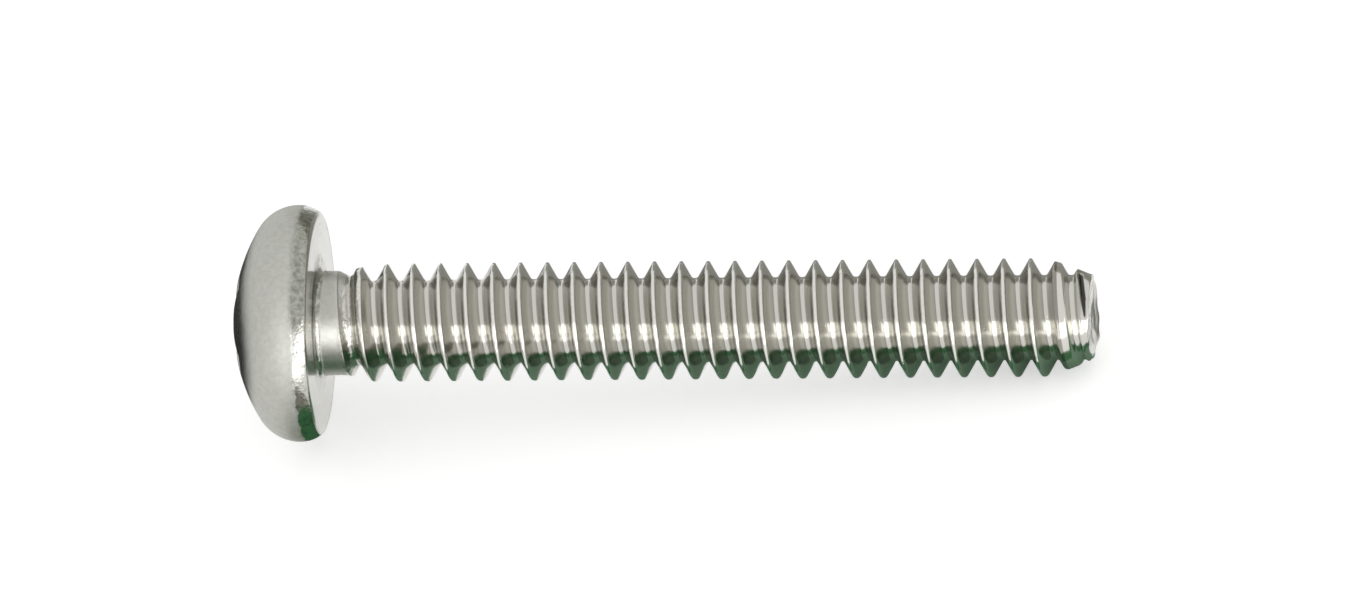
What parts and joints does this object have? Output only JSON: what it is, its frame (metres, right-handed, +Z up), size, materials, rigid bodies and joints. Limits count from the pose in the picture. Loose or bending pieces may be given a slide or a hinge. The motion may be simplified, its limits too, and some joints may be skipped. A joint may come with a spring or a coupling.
{
  "type": "machine screw",
  "caption": "Pan head machine screw in bare stainless steel, with a cross recess and a right-hand thread along nearly all of its shank.",
  "frame": {"origin": "on the surface that the screw lies on, under the middle of its length and width", "axes": "+X from the head towards the point, level, with the screw's own axis 4.58 degrees below it; +Z up; +Y to the left of a viewer who looks along +X"},
  "size_m": [0.0338, 0.0092, 0.0093],
  "materials": {
    "steel": "satin"
  },
  "bodies": {
    "root": {"screw": "steel"}
  },
  "joints": []
}
